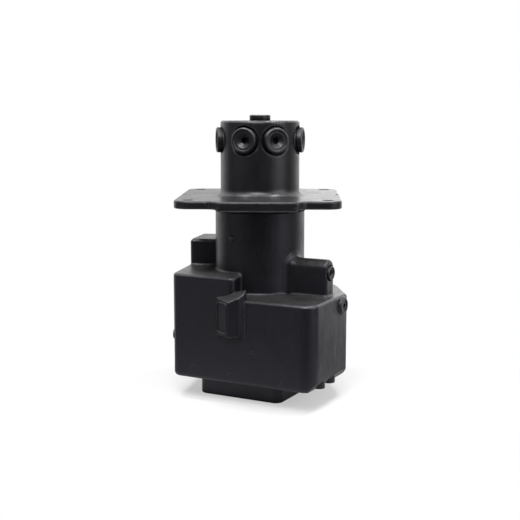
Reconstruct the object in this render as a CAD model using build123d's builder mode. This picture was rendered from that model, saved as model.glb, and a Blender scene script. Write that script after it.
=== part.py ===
"""Hydraulic rotary union: eight oil circuits carried across one turning joint.

The housing stands still on its bottom cover. The rotor, one shaft with a square bolting
flange and a round port head, turns without end inside it. Each circuit runs from a port in
the head down a gallery in the shaft, through a groove between two seals, and out through
the housing wall. Millimetres, +Z up, origin at the middle of the bottom cover's underside,
with the axis of rotation along Z.
"""

import os
from math import atan2, cos, degrees, hypot, radians, sin

from build123d import *

os.makedirs("parts", exist_ok=True)

# Heights, from the bottom cover upwards
cover_thickness = 21.0
block_height = 82.0  # cover to the lower deck
deck_step = 20.0  # lower deck to the upper deck
neck_height = 84.5  # lower deck to the rim under the flange
flange_gap = 1.5
flange_thickness = 7.5
head_height = 72.5

# Rotor
spindle_radius = 30.0
head_radius = 38.8
head_chamfer = 1.5
head_foot_radius = 7.0
rotor_rest_angle = 26.0
flange_side = 156.0
flange_corner_radius = 14.0
flange_hole_spacing = 130.0
flange_hole_radius = 5.5
flange_lip_reach = 8.0
flange_lip_root = 88.0
flange_lip_tip = 74.0
flange_lip_depth = 16.0
flange_lip_drop = 1.5
flange_lip_round = 8.0
flange_notch_radius = 3.5
flange_edge_round = 1.2

# Circuits, counted from the lowest
circuit_count = 7
lowest_circuit_drop = 42.0  # below the lower deck
circuit_pitch = 16.0
circuit_groove_width = 6.0
circuit_groove_depth = 2.5
gallery_radius = 4.0
gallery_inset = 12.5  # from the spindle's side
centre_gallery_radius = 4.0
cross_drill_radius = 2.75

# Head ports, as angles from the middle of the flange's front edge
head_port_angles = (-82.0, -21.0, 25.0, 79.0, 129.0, 179.0, 228.0)
head_port_drop = 18.6  # below the top of the head
head_port_radius = 8.3
head_port_depth = 13.0
spotface_radius = 14.4
spotface_inset = 2.8
head_plug_radius = 12.25
head_plug_length = 7.0
head_plug_shank = 11.0
head_plug_dish_radius = 8.6
head_plug_dish_depth = 2.2
head_plug_hub_radius = 4.9
head_plug_across = 6.2
head_plug_socket_depth = 5.0
head_washer_thickness = 1.5
washer_inset = 0.6  # from the rim of the plug's head

# Housing ports
port_radius = 4.9
port_depth = 11.0
port_drill_radius = 3.0
port_face_radius = 7.9
port_plug_radius = 7.0
port_plug_length = 3.0
port_plug_shank = 9.0
port_plug_dish_radius = 5.4
port_plug_dish_depth = 0.7
port_plug_hub_radius = 3.6
port_plug_across = 5.0
port_plug_socket_depth = 3.5
port_washer_thickness = 1.0
dish_slope = 0.7
plug_edge_chamfer = 0.5

# Top plug, over the central gallery
top_plug_radius = 10.25
top_plug_length = 5.0
top_plug_rise = 5.5
top_face_radius = 12.0
top_washer_thickness = 1.2

# Fits
running_clearance = 0.05
thread_clearance = 0.08
seal_side_clearance = 0.2
end_play = 0.1
soft_clearance = 0.3
bolt_clearance = 0.25

# Seals, guide rings and thrust washers in the bore
seal_groove_width = 5.0
seal_groove_depth = 5.0
slipper_thickness = 2.0
energiser_width = 3.8
seal_corner_radius = 0.7
seal_gap = 0.02
guide_ring_width = 5.0
guide_ring_thickness = 2.0
lower_guide_drop = 15.5  # below the lowest circuit
upper_guide_drop = 11.5  # below the neck's top
washer_width = 7.0  # from the spindle's side outwards
washer_thickness = 2.5
washer_proud = 0.5
dust_seal_gap = 3.2  # thrust washer to the middle of the seal
dust_seal_width = 2.4
dust_groove_depth = 2.5

# Retainer under the spindle
pocket_clearance = 1.0  # beyond the thrust washer
pocket_margin = 4.5  # below the middle of the lower guide ring
retainer_clearance = 1.5
retainer_thickness = 7.0
retainer_bolt_count = 4
retainer_bolt_inset = 5.0  # from the spindle's side
retainer_bolt_first_angle = 45.0
m6_radius = 3.0
m6_head_radius = 5.0
m6_head_height = 6.0
m6_socket_across = 5.0
retainer_bolt_grip = 12.0
gallery_plug_length = 9.0

# Housing casting
front_y = -68.6
right_x = 90.4
right_back_y = 10.0
rear_right_x = 56.0
rear_right_y = 60.0
front_left_x = -60.5
wing_angle = 15.3
wing_length = 120.0
front_left_radius = 10.0
front_right_radius = 13.0
back_right_radius = 8.0
rear_radius = 25.0
wing_corner_radius = 15.0
deck_edge_radius = 3.0
base_edge_radius = 4.0
foot_radius = 2.5
neck_wall = 3.9  # outside the middle of the dust seal
neck_rim_chamfer = 0.8
step_x = 9.0
step_slant = 28.0  # length of the step's front run, parallel to the wing's side
step_corner_radius = 5.0

# Left rear boss, square to the wing
boss_height = 26.5
boss_reach = 57.0  # from the front left corner, along the wing
boss_inset = 1.5
boss_depth = 48.0
boss_width = 50.0
boss_corner_radius = 4.0
boss_edge_chamfer = 2.5
boss_port_reach = 16.0
boss_port_recess = 4.0
boss_port_circuit = 6

# Right lug, a round-topped port boss
lug_radius = 9.0
lug_end_x = 80.5
lug_y = -8.5
lug_circuit = 5
lug_rise = 4.0  # of the round top's centre over the port
lug_end_round = 3.0
lug_port_recess = 2.0

# Ports on the right side, the rear wall and the back of the neck
side_port_circuit = 3
side_port_y = -1.0
side_boss_radius = 9.0
side_boss_chamfer = 1.4
side_boss_rise = 2.4
side_plug_radius = 5.4
side_plug_length = 9.0
side_plug_across = 4.6
side_plug_socket_depth = 4.0
side_plug_inset = 0.6
rear_ports = ((-20.0, 1), (18.0, 2), (-20.0, 4))  # offset along the wall, circuit
rear_boss_radius = 11.0
rear_boss_rise = 1.6
rear_boss_root = 4.0
drain_offset = 18.0
drain_rise = 14.0  # over the cover
neck_port_angle = 118.0
neck_port_circuit = 7

# Bleed screw on the neck
bleed_circuit = 7
bleed_angle = -100.5
bleed_radius = 3.0
bleed_rise = 1.2
bleed_length = 8.0
bleed_drill_radius = 1.25
bleed_round = 0.8

# Rib on the front face, in plan from the front face forwards
rib_left_x = -11.0
rib_nose_x = 7.7
rib_nose_reach = 10.4
rib_shoulder_x = 16.7
rib_shoulder_reach = 5.6
rib_right_x = 19.8
rib_root = 4.0
rib_corner_rise = 0.5  # over the lower deck
rib_length = 36.0
rib_height = 50.0
rib_slope_along = 0.21
rib_slope_out = 0.57
rib_edge_radius = 1.8

# Undercut along the foot of the right side
undercut_width = 7.0
undercut_height = 8.0

# Small cast pads
side_pad_radius = 5.0
side_pad_rise = 1.0
side_pad_reach = 10.0
side_pad_drop = 42.0  # below the lower deck
foot_pad_radius = 6.0
foot_pad_height = 12.0
foot_pad_inset = 6.2
foot_pad_ys = (-41.0, -18.0)

# Bottom cover
cover_side = 90.0
cover_corner_radius = 8.0
cover_edge_radius = 1.5
cover_rim = 5.0
cover_recess_depth = 5.0
cover_spigot_clearance = 0.1
cover_spigot_height = 5.0
cover_bolt_inset = 10.0
cover_bolt_length = 30.0
m8_radius = 4.0
m8_head_radius = 6.5
m8_head_height = 8.0
m8_socket_across = 6.0
cover_head_recess = 9.0
cover_seal_rise = 2.6  # above the cover's top
cover_seal_width = 2.6
cover_groove_width = 3.0
cover_groove_depth = 2.0

# Picking edges
edge_tolerance = 0.01
shortest_foot = 1.0

# Heights worked out from the stack
lower_deck_z = cover_thickness + block_height
upper_deck_z = lower_deck_z + deck_step
boss_top_z = upper_deck_z + boss_height
neck_top_z = lower_deck_z + neck_height
flange_z = neck_top_z + flange_gap
head_z = flange_z + flange_thickness
head_top_z = head_z + head_height
head_port_z = head_top_z - head_port_drop
lowest_circuit_z = lower_deck_z - lowest_circuit_drop
lower_guide_z = lowest_circuit_z - lower_guide_drop
upper_guide_z = neck_top_z - upper_guide_drop
pocket_top_z = lower_guide_z - pocket_margin
spindle_end_z = pocket_top_z - washer_thickness - end_play
retainer_z = spindle_end_z - retainer_thickness
collar_z = neck_top_z + washer_proud + end_play
circuit_zs = [lowest_circuit_z + circuit_pitch * i for i in range(circuit_count)]
seal_zs = [lowest_circuit_z + circuit_pitch * (i - 0.5) for i in range(circuit_count + 1)]
drain_z = cover_thickness + drain_rise
side_pad_z = lower_deck_z - side_pad_drop
rib_corner_z = lower_deck_z + rib_corner_rise
rib_bottom_z = rib_corner_z - rib_length
lug_z = circuit_zs[lug_circuit - 1]
lug_top_z = lug_z + lug_rise
guide_zs = (lower_guide_z, upper_guide_z)
cover_seal_z = cover_thickness + cover_seal_rise

# Radii worked out from the spindle and the fits
washer_outer_radius = spindle_radius + washer_width
dust_seal_radius = washer_outer_radius + dust_seal_gap
neck_radius = dust_seal_radius + neck_wall
pocket_radius = washer_outer_radius + pocket_clearance
retainer_radius = pocket_radius - retainer_clearance
cover_recess_radius = pocket_radius - cover_rim
cover_bolt_spacing = cover_side - 2 * cover_bolt_inset
gallery_circle_radius = spindle_radius - gallery_inset
retainer_bolt_circle_radius = spindle_radius - retainer_bolt_inset
bore_radius = spindle_radius + running_clearance
seal_floor_radius = bore_radius + seal_groove_depth
guide_floor_radius = bore_radius + guide_ring_thickness
seat_plane_radius = head_radius - spotface_inset
flange_lip_y = flange_side / 2 + flange_lip_reach - flange_lip_depth / 2

# Directions of the turned flange and of the wing's side
flange_front_angle = rotor_rest_angle - 90
flange_x_dir = (cos(radians(rotor_rest_angle)), sin(radians(rotor_rest_angle)), 0)
wing_out = (-cos(radians(wing_angle)), -sin(radians(wing_angle)), 0)
wing_back = (-sin(radians(wing_angle)), cos(radians(wing_angle)), 0)
step_turn_x = step_x + step_slant * wing_back[0]
step_turn_y = front_y + step_slant * wing_back[1]
rear_left_x = front_left_x + wing_length * wing_back[0]
rear_left_y = front_y + wing_length * wing_back[1]
rear_angle = degrees(atan2(rear_right_y - rear_left_y, rear_right_x - rear_left_x))
rear_along = (cos(radians(rear_angle)), sin(radians(rear_angle)), 0)
rear_out = (-rear_along[1], rear_along[0], 0)
rear_reach = rear_right_x * rear_out[0] + rear_right_y * rear_out[1]
block_reach = right_x - rear_left_x


def side_plane(radius, height, angle):
    """A plane facing outwards at this radius, height and angle about the axis, its x level."""
    out = (cos(radians(angle)), sin(radians(angle)), 0)
    return Plane((radius * out[0], radius * out[1], height), x_dir=(-out[1], out[0], 0), z_dir=out)


def wing_plane(reach, rise, height):
    """A plane on the wing's side, this far back from its front corner and this far out from it."""
    x = front_left_x + reach * wing_back[0] + rise * wing_out[0]
    y = front_y + reach * wing_back[1] + rise * wing_out[1]
    return Plane((x, y, height), x_dir=wing_back, z_dir=wing_out)


def rear_plane(offset, rise, height):
    """A plane on the rear wall, this far along it from abreast of the axis."""
    x = (rear_reach + rise) * rear_out[0] + offset * rear_along[0]
    y = (rear_reach + rise) * rear_out[1] + offset * rear_along[1]
    return Plane((x, y, height), x_dir=rear_along, z_dir=rear_out)


def right_plane(x, y, height):
    """A plane facing right."""
    return Plane((x, y, height), x_dir=(0, 1, 0), z_dir=(1, 0, 0))


def depth_to_axis(seat):
    """How far a level seat stands out from abreast of the axis of rotation."""
    return seat.origin.dot(seat.z_dir)


def is_lip_corner(vertex):
    """True for a corner of the flange's outline where a lip begins or turns."""
    return abs(vertex.Y) > flange_side / 2 - edge_tolerance and abs(vertex.X) < flange_lip_root


def is_neck_foot(edge):
    """True for an edge on the neck's side where something lower meets it."""
    reaches = [hypot(point.X, point.Y) for point in (edge @ 0, edge.center(), edge @ 1)]
    below_rim = edge.center().Z < boss_top_z + edge_tolerance
    on_neck = max(abs(reach - neck_radius) for reach in reaches) < edge_tolerance
    return on_neck and below_rim and edge.length > shortest_foot


def section_of(seat):
    """The plane through a seat's centre line, with x across it and y along it, outwards."""
    return Plane(seat.origin, x_dir=seat.x_dir, z_dir=-seat.y_dir)


def finish(part, name):
    part.label = name
    export_step(part, "parts/" + name + ".step")


def make_ring(name, inner, outer, bottoms, height, corner=0.0):
    """One or more rings about the axis of rotation, square or round cornered in section."""
    with BuildPart() as rings:
        for bottom in bottoms:
            with BuildSketch(Plane.XZ) as section:
                with Locations(((inner + outer) / 2, bottom + height / 2)):
                    Rectangle(outer - inner, height)
                if corner:
                    fillet(section.vertices(), corner)
            revolve(axis=Axis.Z)
    finish(rings.part, name)


def make_washer(name, seat, inner, outer, thickness):
    """A flat washer lying on its seat."""
    with BuildPart() as washer:
        with BuildSketch(seat):
            Circle(outer)
            Circle(inner, mode=Mode.SUBTRACT)
        extrude(amount=thickness)
    finish(washer.part, name)


def make_dished_plug(name, seat, head, length, shank, shank_length, dish, depth, hub, across, socket):
    """A socket-headed port plug with a dished face, its head bearing on the seat."""
    floor = length - depth
    with BuildPart() as plug:
        with BuildSketch(section_of(seat)):
            with BuildLine():
                Polyline(
                    (0, -shank_length),
                    (shank, -shank_length),
                    (shank, 0),
                    (head, 0),
                    (head, length - plug_edge_chamfer),
                    (head - plug_edge_chamfer, length),
                    (dish, length),
                    (dish - dish_slope, floor),
                    (hub + dish_slope, floor),
                    (hub, length - dish_slope),
                    (0, length - dish_slope),
                    close=True,
                )
            make_face()
        revolve(axis=Axis(seat.origin, seat.z_dir))
        with BuildSketch(seat.offset(length - dish_slope)):
            RegularPolygon(across / 2, 6, major_radius=False)
        extrude(amount=-socket, mode=Mode.SUBTRACT)
    finish(plug.part, name)


def make_head_plug(name, seat):
    make_dished_plug(
        name, seat.offset(head_washer_thickness), head_plug_radius, head_plug_length,
        head_port_radius - thread_clearance, head_plug_shank, head_plug_dish_radius,
        head_plug_dish_depth, head_plug_hub_radius, head_plug_across, head_plug_socket_depth,
    )


def make_port_plug(name, seat):
    make_dished_plug(
        name, seat.offset(port_washer_thickness), port_plug_radius, port_plug_length,
        port_radius - thread_clearance, port_plug_shank, port_plug_dish_radius,
        port_plug_dish_depth, port_plug_hub_radius, port_plug_across, port_plug_socket_depth,
    )


def make_flush_plug(name, seat, radius, length, across, socket):
    """A headless socket plug that ends at its seat's plane."""
    with BuildPart() as plug:
        with BuildSketch(seat):
            Circle(radius)
        extrude(amount=-length)
        with BuildSketch(seat):
            RegularPolygon(across / 2, 6, major_radius=False)
        extrude(amount=-socket, mode=Mode.SUBTRACT)
    finish(plug.part, name)


def make_cap_screws(name, seats, radius, grip, head, head_height, across):
    """A set of socket cap screws, each with its head on a seat and its shank behind it."""
    with BuildPart() as screws:
        for seat in seats:
            with BuildSketch(seat):
                Circle(head)
            extrude(amount=head_height)
            with BuildSketch(seat):
                Circle(radius)
            extrude(amount=-grip)
            with BuildSketch(seat.offset(head_height)):
                RegularPolygon(across / 2, 6, major_radius=False)
            extrude(amount=-head_height / 2, mode=Mode.SUBTRACT)
    finish(screws.part, name)


# Where things screw in
head_angles = [flange_front_angle + angle for angle in head_port_angles]
head_seats = [side_plane(seat_plane_radius, head_port_z, angle) for angle in head_angles]
top_seat = Plane.XY.offset(head_top_z + top_plug_rise - top_plug_length - top_washer_thickness)
lug_seat = right_plane(lug_end_x - lug_port_recess, lug_y, lug_z)
side_seat = right_plane(right_x + side_boss_rise, side_port_y, circuit_zs[side_port_circuit - 1])
boss_seat = wing_plane(
    boss_reach + boss_port_reach, -boss_inset - boss_port_recess, circuit_zs[boss_port_circuit - 1]
)
rear_seats = [
    rear_plane(offset, rear_boss_rise, circuit_zs[circuit - 1]) for offset, circuit in rear_ports
]
drain_seat = rear_plane(drain_offset, rear_boss_rise, drain_z)
neck_seat = side_plane(neck_radius + rear_boss_rise, circuit_zs[neck_port_circuit - 1], neck_port_angle)
headed_seats = [lug_seat, boss_seat, *rear_seats, drain_seat, neck_seat]
bleed_seat = side_plane(neck_radius, circuit_zs[bleed_circuit - 1], bleed_angle)
retainer_bolt_angles = [
    retainer_bolt_first_angle + 360 * i / retainer_bolt_count for i in range(retainer_bolt_count)
]
retainer_seats = [
    Plane(
        (
            retainer_bolt_circle_radius * cos(radians(angle)),
            retainer_bolt_circle_radius * sin(radians(angle)),
            retainer_z,
        ),
        x_dir=(1, 0, 0),
        z_dir=(0, 0, -1),
    )
    for angle in retainer_bolt_angles
]
cover_corners = [(x * cover_bolt_spacing / 2, y * cover_bolt_spacing / 2) for x in (-1, 1) for y in (-1, 1)]
cover_seats = [
    Plane((x, y, cover_head_recess), x_dir=(1, 0, 0), z_dir=(0, 0, -1)) for x, y in cover_corners
]

# Rotor shaft: spindle, square bolting flange and round port head in one casting
with BuildPart() as rotor_shaft:
    with BuildSketch(Plane.XY.offset(spindle_end_z)):
        Circle(spindle_radius)
    extrude(amount=head_z - spindle_end_z)
    with BuildSketch(Plane.XY.offset(collar_z)):
        Circle(washer_outer_radius)
    extrude(amount=head_z - collar_z)
    flange_plane = Plane((0, 0, flange_z), x_dir=flange_x_dir, z_dir=(0, 0, 1))
    with BuildSketch(flange_plane) as flange_outline:
        RectangleRounded(flange_side, flange_side, flange_corner_radius)
        for side in (-1, 1):
            with BuildLine():
                Polyline(
                    (-flange_lip_root / 2, side * (flange_side / 2 - flange_lip_depth)),
                    (-flange_lip_root / 2, side * flange_side / 2),
                    (-flange_lip_tip / 2, side * (flange_side / 2 + flange_lip_reach)),
                    (flange_lip_tip / 2, side * (flange_side / 2 + flange_lip_reach)),
                    (flange_lip_root / 2, side * flange_side / 2),
                    (flange_lip_root / 2, side * (flange_side / 2 - flange_lip_depth)),
                    close=True,
                )
            make_face()
        lip_corners = flange_outline.vertices().filter_by(is_lip_corner)
        fillet(lip_corners, flange_lip_round)
        with Locations((-flange_side / 2, 0), (flange_side / 2, 0)):
            Circle(flange_notch_radius, mode=Mode.SUBTRACT)
        with GridLocations(flange_hole_spacing, flange_hole_spacing, 2, 2):
            Circle(flange_hole_radius, mode=Mode.SUBTRACT)
    extrude(amount=flange_thickness)
    flange_faces = rotor_shaft.faces().filter_by(Axis.Z)
    underside = flange_faces.filter_by_position(Axis.Z, flange_z, flange_z)[0]
    fillet(underside.outer_wire().edges(), flange_edge_round)
    flange_faces = rotor_shaft.faces().filter_by(Axis.Z)
    fillet(flange_faces.sort_by(Axis.Z)[-1].outer_wire().edges(), flange_edge_round)
    # A drooping lip under the middle of the front and rear edges
    with BuildSketch(flange_plane.offset(-flange_lip_drop)):
        with Locations((0, -flange_lip_y), (0, flange_lip_y)):
            RectangleRounded(flange_lip_tip, flange_lip_depth, flange_lip_drop)
    extrude(amount=flange_lip_drop + flange_edge_round)
    with BuildSketch(Plane.XY.offset(head_z)):
        Circle(head_radius)
    extrude(amount=head_height)
    circles = rotor_shaft.edges().filter_by(GeomType.CIRCLE)
    fillet(circles.filter_by_position(Axis.Z, head_z, head_z).sort_by(SortBy.RADIUS)[-1], head_foot_radius)
    chamfer(rotor_shaft.edges().sort_by(Axis.Z)[-1], head_chamfer)
    # One groove round the spindle for each circuit
    for height in circuit_zs:
        with BuildSketch(Plane.XZ):
            with Locations((spindle_radius, height)):
                Rectangle(2 * circuit_groove_depth, circuit_groove_width)
        revolve(axis=Axis.Z, mode=Mode.SUBTRACT)
    # Head ports, the galleries below them and the drillings out to the grooves
    for seat, angle, height in zip(head_seats, head_angles, circuit_zs):
        with BuildSketch(seat):
            Circle(spotface_radius)
        extrude(amount=2 * spotface_inset, mode=Mode.SUBTRACT)
        with BuildSketch(seat):
            Circle(head_port_radius)
        extrude(amount=-head_port_depth, mode=Mode.SUBTRACT)
        with BuildSketch(seat):
            Circle(gallery_radius)
        extrude(amount=gallery_circle_radius - seat_plane_radius, mode=Mode.SUBTRACT)
        with BuildSketch(Plane.XY.offset(spindle_end_z)):
            with Locations(Location((0, 0, 0), (0, 0, angle))):
                with Locations((gallery_circle_radius, 0)):
                    Circle(gallery_radius)
        extrude(amount=head_port_z - spindle_end_z, mode=Mode.SUBTRACT)
        with BuildSketch(side_plane(gallery_circle_radius, height, angle)):
            Circle(cross_drill_radius)
        extrude(amount=spindle_radius - gallery_circle_radius, mode=Mode.SUBTRACT)
    # Central gallery, open at the spindle's end, and the top port over it
    with BuildSketch(Plane.XY.offset(spindle_end_z)):
        Circle(centre_gallery_radius)
    extrude(amount=head_top_z - spindle_end_z, mode=Mode.SUBTRACT)
    with BuildSketch(top_seat):
        Circle(top_face_radius)
    extrude(amount=head_chamfer + top_plug_rise, mode=Mode.SUBTRACT)
    with BuildSketch(top_seat):
        Circle(head_port_radius)
    extrude(amount=-port_depth, mode=Mode.SUBTRACT)
    # Tapped holes for the retainer
    for seat in retainer_seats:
        with BuildSketch(seat):
            Circle(m6_radius + thread_clearance)
        extrude(amount=-retainer_thickness - retainer_bolt_grip, mode=Mode.SUBTRACT)
finish(rotor_shaft.part, "rotor_shaft")

for number, seat in enumerate(head_seats, 1):
    make_head_plug("head_plug_%d" % number, seat)
    make_washer(
        "head_plug_washer_%d" % number, seat, head_port_radius,
        head_plug_radius - washer_inset, head_washer_thickness,
    )

make_washer(
    "top_plug_washer", top_seat, head_port_radius, top_plug_radius - washer_inset, top_washer_thickness
)
make_dished_plug(
    "top_plug", top_seat.offset(top_washer_thickness), top_plug_radius, top_plug_length,
    head_port_radius - thread_clearance, port_plug_shank, head_plug_dish_radius,
    port_plug_dish_depth, head_plug_hub_radius, head_plug_across, port_plug_socket_depth,
)

with BuildPart() as gallery_plugs:
    with BuildSketch(Plane.XY.offset(spindle_end_z)):
        for angle in head_angles:
            with Locations(Location((0, 0, 0), (0, 0, angle))):
                with Locations((gallery_circle_radius, 0)):
                    Circle(gallery_radius - thread_clearance)
    extrude(amount=gallery_plug_length)
finish(gallery_plugs.part, "gallery_plugs")

with BuildPart() as retainer_plate:
    with BuildSketch(Plane.XY.offset(retainer_z)):
        Circle(retainer_radius)
        Circle(centre_gallery_radius, mode=Mode.SUBTRACT)
        with Locations([seat.origin for seat in retainer_seats]):
            Circle(m6_radius + bolt_clearance, mode=Mode.SUBTRACT)
    extrude(amount=retainer_thickness)
    chamfer(retainer_plate.edges().group_by(Axis.Z)[0].sort_by(SortBy.LENGTH)[-1], plug_edge_chamfer)
finish(retainer_plate.part, "retainer_plate")
make_cap_screws(
    "retainer_bolts", retainer_seats, m6_radius, retainer_thickness + retainer_bolt_grip,
    m6_head_radius, m6_head_height, m6_socket_across,
)


# The outline of the block: square to the right, flared into a wing on the left
with BuildSketch() as block_plan:
    with BuildLine():
        FilletPolyline(
            (front_left_x, front_y),
            (right_x, front_y),
            (right_x, right_back_y),
            (rear_right_x, rear_right_y),
            (rear_left_x, rear_left_y),
            radius=(
                front_left_radius, front_right_radius, back_right_radius, rear_radius, wing_corner_radius
            ),
            close=True,
        )
    make_face()

# The rib on the front face, its top slanting up to the step between the decks
with BuildPart() as front_rib:
    with BuildSketch(Plane.XY.offset(rib_bottom_z)) as rib_plan:
        with BuildLine():
            Polyline(
                (rib_left_x, front_y + rib_root),
                (rib_left_x, front_y),
                (rib_nose_x, front_y - rib_nose_reach),
                (rib_shoulder_x, front_y - rib_shoulder_reach),
                (rib_right_x, front_y),
                (rib_right_x, front_y + rib_root),
                close=True,
            )
        make_face()
    extrude(amount=rib_height)
    split(
        bisect_by=Plane((rib_left_x, front_y, rib_corner_z), z_dir=(-rib_slope_along, -rib_slope_out, 1)),
        keep=Keep.BOTTOM,
    )
    outer_edges = front_rib.edges().filter_by(lambda edge: edge.center().Y < front_y - rib_edge_radius)
    fillet(outer_edges, rib_edge_radius)

# The upper deck, its step down to the lower one parallel to the wing's side in front
with BuildPart() as upper_block:
    with BuildSketch(Plane.XY.offset(lower_deck_z - 2 * deck_edge_radius)) as upper_plan:
        add(block_plan.sketch)
        with BuildLine():
            Polyline(
                (-block_reach, front_y),
                (step_x, front_y),
                (step_turn_x, step_turn_y),
                (step_turn_x, block_reach),
                (-block_reach, block_reach),
                close=True,
            )
        make_face(mode=Mode.INTERSECT)
        fillet(upper_plan.vertices().sort_by_distance((step_x, front_y, 0))[0], step_corner_radius)
    extrude(amount=deck_step + 2 * deck_edge_radius)
    fillet(upper_block.faces().sort_by(Axis.Z)[-1].edges(), deck_edge_radius)

# The left rear boss, square to the wing
with BuildPart() as rear_boss:
    boss_corner = wing_plane(boss_reach, -boss_inset, lower_deck_z).origin
    with BuildSketch(Plane(boss_corner, x_dir=(-wing_out[0], -wing_out[1], 0))) as boss_plan:
        Rectangle(boss_width, boss_depth, align=(Align.MIN, Align.MIN))
        fillet(boss_plan.vertices(), boss_corner_radius)
    extrude(amount=boss_top_z - lower_deck_z)
    chamfer(rear_boss.faces().sort_by(Axis.Z)[-1].edges(), boss_edge_chamfer)

# The right lug, a port boss with a round top
with BuildPart() as right_lug:
    with BuildSketch(right_plane(spindle_radius, lug_y, lug_top_z)):
        Circle(lug_radius)
        Rectangle(
            2 * lug_radius, lug_top_z - lower_deck_z + deck_edge_radius, align=(Align.CENTER, Align.MAX)
        )
    extrude(amount=lug_end_x - spindle_radius)
    lug_rim = right_lug.faces().sort_by(Axis.X)[-1].edges()
    fillet(lug_rim.filter_by(lambda edge: edge.center().Z > lower_deck_z), lug_end_round)

with BuildPart() as housing_casting:
    with BuildSketch(Plane.XY.offset(cover_thickness)):
        add(block_plan.sketch)
    extrude(amount=block_height)
    fillet(housing_casting.faces().sort_by(Axis.Z)[-1].edges(), deck_edge_radius)
    fillet(housing_casting.faces().sort_by(Axis.Z)[0].edges(), base_edge_radius)
    add(upper_block.part)
    with BuildSketch(Plane.XY.offset(lower_deck_z - deck_edge_radius)):
        Circle(neck_radius)
    extrude(amount=neck_height + deck_edge_radius)
    chamfer(housing_casting.edges().sort_by(Axis.Z)[-1], neck_rim_chamfer)
    add(rear_boss.part)
    add(right_lug.part)
    add(front_rib.part)
    # Cast fillets where the forms meet the decks and the neck
    deck_feet = housing_casting.edges().filter_by_position(Axis.Z, lower_deck_z, lower_deck_z)
    boss_feet = housing_casting.edges().filter_by_position(Axis.Z, upper_deck_z, upper_deck_z)
    feet = [
        *housing_casting.edges().filter_by(is_neck_foot),
        *deck_feet.filter_by(Axis((step_x, front_y, lower_deck_z), wing_back)),
        *deck_feet.filter_by_position(Axis.X, step_turn_x, step_turn_x),
        *deck_feet.filter_by_position(Axis.X, lug_end_x, lug_end_x),
        *deck_feet.filter_by_position(Axis.Y, lug_y - lug_radius, lug_y - lug_radius),
        *deck_feet.filter_by_position(Axis.Y, lug_y + lug_radius, lug_y + lug_radius),
        boss_feet.filter_by(Axis(boss_corner, wing_out)).sort_by(Axis.Y)[0],
    ]
    fillet(feet, foot_radius)
    with BuildSketch(Plane.XZ):
        with BuildLine():
            Polyline(
                (right_x - undercut_width, cover_thickness),
                (right_x, cover_thickness + undercut_height),
                (right_x, cover_thickness),
                close=True,
            )
        make_face()
    extrude(amount=block_reach, both=True, mode=Mode.SUBTRACT)
    # Port bosses and cast pads
    with BuildSketch(side_seat):
        Circle(side_boss_radius)
    extrude(amount=-side_boss_rise - deck_edge_radius)
    chamfer(housing_casting.edges().sort_by(Axis.X)[-1], side_boss_chamfer)
    for seat in [*rear_seats, drain_seat, neck_seat]:
        with BuildSketch(seat):
            Circle(rear_boss_radius)
        extrude(amount=-rear_boss_rise - rear_boss_root)
    with BuildSketch(wing_plane(side_pad_reach, side_pad_rise, side_pad_z)):
        Circle(side_pad_radius)
    extrude(amount=-side_pad_rise - side_pad_radius)
    with BuildSketch(Plane.XY.offset(cover_thickness)):
        with Locations([(right_x - foot_pad_inset, y) for y in foot_pad_ys]):
            Circle(foot_pad_radius)
    extrude(amount=foot_pad_height)
    # Bore, retainer pocket and thrust washer seat
    with BuildSketch(Plane.XY.offset(cover_thickness)):
        Circle(bore_radius)
    extrude(amount=neck_top_z - cover_thickness, mode=Mode.SUBTRACT)
    with BuildSketch(Plane.XY.offset(cover_thickness)):
        Circle(pocket_radius)
    extrude(amount=pocket_top_z - cover_thickness, mode=Mode.SUBTRACT)
    with BuildSketch(Plane.XY.offset(neck_top_z)):
        Circle(washer_outer_radius + thread_clearance)
    extrude(amount=washer_proud - washer_thickness, mode=Mode.SUBTRACT)
    with BuildSketch(Plane.XY.offset(neck_top_z)):
        Circle(dust_seal_radius + dust_seal_width / 2 + seal_gap)
        Circle(dust_seal_radius - dust_seal_width / 2 - seal_gap, mode=Mode.SUBTRACT)
    extrude(amount=-dust_groove_depth, mode=Mode.SUBTRACT)
    # Seal grooves between the circuits, and a guide ring's groove beyond each end
    for height in seal_zs:
        with BuildSketch(Plane.XZ):
            with Locations((bore_radius, height)):
                Rectangle(2 * seal_groove_depth, seal_groove_width)
        revolve(axis=Axis.Z, mode=Mode.SUBTRACT)
    for height in guide_zs:
        with BuildSketch(Plane.XZ):
            with Locations((bore_radius, height)):
                Rectangle(2 * guide_ring_thickness, guide_ring_width + 2 * seal_side_clearance)
        revolve(axis=Axis.Z, mode=Mode.SUBTRACT)
    # Tapped ports, their faces and the drillings in to the bore
    for seat in headed_seats:
        with BuildSketch(seat):
            Circle(port_face_radius)
        extrude(amount=boss_port_recess + rear_boss_rise, mode=Mode.SUBTRACT)
        with BuildSketch(seat):
            Circle(port_radius)
        extrude(amount=-port_depth, mode=Mode.SUBTRACT)
        with BuildSketch(seat):
            Circle(port_drill_radius)
        extrude(amount=-depth_to_axis(seat), mode=Mode.SUBTRACT)
    with BuildSketch(side_seat):
        Circle(side_plug_radius + thread_clearance)
    extrude(amount=-side_plug_length - side_plug_inset, mode=Mode.SUBTRACT)
    with BuildSketch(side_seat):
        Circle(port_drill_radius)
    extrude(amount=-depth_to_axis(side_seat), mode=Mode.SUBTRACT)
    with BuildSketch(bleed_seat):
        Circle(bleed_radius)
    extrude(amount=-bleed_length, mode=Mode.SUBTRACT)
    with BuildSketch(bleed_seat):
        Circle(bleed_drill_radius)
    extrude(amount=-depth_to_axis(bleed_seat), mode=Mode.SUBTRACT)
    # Tapped holes for the bottom cover's bolts
    with BuildSketch(Plane.XY.offset(cover_thickness)):
        with Locations(cover_corners):
            Circle(m8_radius + thread_clearance)
    extrude(amount=cover_bolt_length, mode=Mode.SUBTRACT)
finish(housing_casting.part, "housing_casting")

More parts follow.
